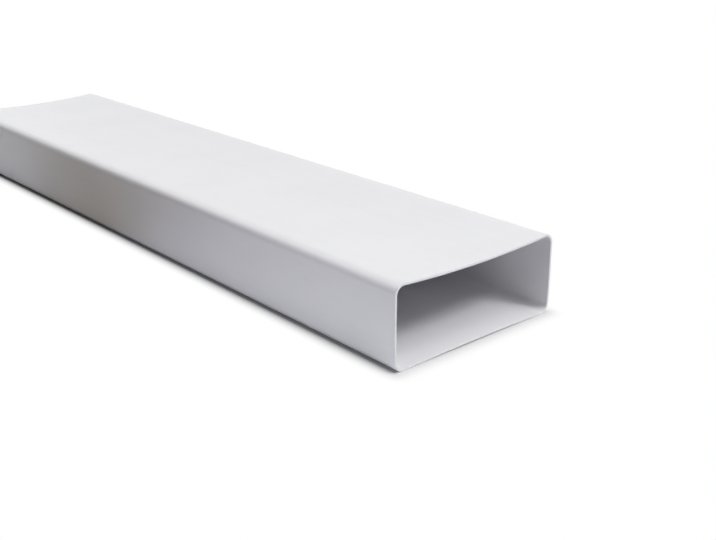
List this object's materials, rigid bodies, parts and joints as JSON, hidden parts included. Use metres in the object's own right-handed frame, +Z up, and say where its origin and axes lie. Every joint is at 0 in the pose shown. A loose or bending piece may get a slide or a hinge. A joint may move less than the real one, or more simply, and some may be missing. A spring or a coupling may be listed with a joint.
{
  "type": "flat channel duct",
  "caption": "Thin-walled rectangular plastic ventilation duct with rounded corners and slightly bowed walls, sawn square and open at both ends, for pushing into flat channel fittings.",
  "frame": {"origin": "middle of the duct's length and width, on the ground that its two bottom corners stand on", "axes": "+X along the duct, +Y across its width, +Z up from the floor wall to the roof wall that hangs in the middle"},
  "size_m": [1, 0.2228, 0.089],
  "materials": {
    "white_pvc": "smooth satin white rigid PVC, as extruded, with sawn ends"
  },
  "bodies": {
    "root": {"flat_channel_duct": "white_pvc"}
  },
  "joints": []
}
